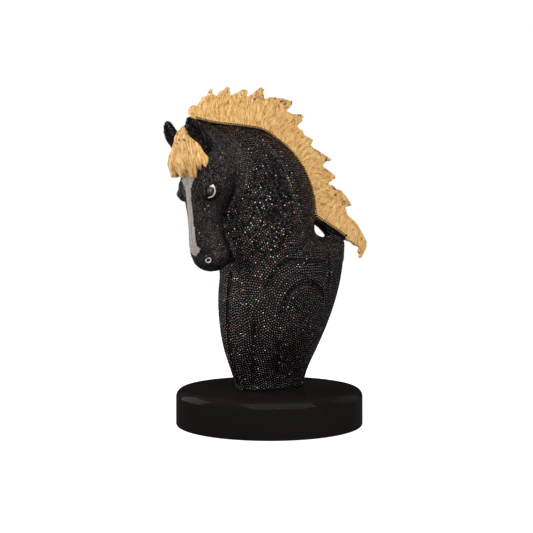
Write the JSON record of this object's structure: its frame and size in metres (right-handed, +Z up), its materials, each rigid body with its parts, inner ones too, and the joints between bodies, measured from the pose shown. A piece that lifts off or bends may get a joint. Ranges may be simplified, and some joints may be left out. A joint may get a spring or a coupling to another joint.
{
  "type": "horse head figurine",
  "caption": "Horse head and neck bust with arched crest, flame-tufted gold mane and forelock, standing on a round rounded-edge plinth.",
  "frame": {"origin": "middle of the plinth's underside", "axes": "+Z up; the horse looks along -Y and its left side is +X"},
  "size_m": [0.2, 0.2695, 0.359],
  "materials": {
    "plinth_lacquer": "deep gloss black lacquer",
    "black_stones": "cast resin covered in rows of small black faceted stones",
    "white_stones": "clear white faceted stones",
    "gold_leaf": "wrinkled gold leaf"
  },
  "bodies": {
    "root": {"plinth": "plinth_lacquer", "bust": "black_stones", "mane": "gold_leaf", "forelock": "gold_leaf"}
  },
  "joints": []
}
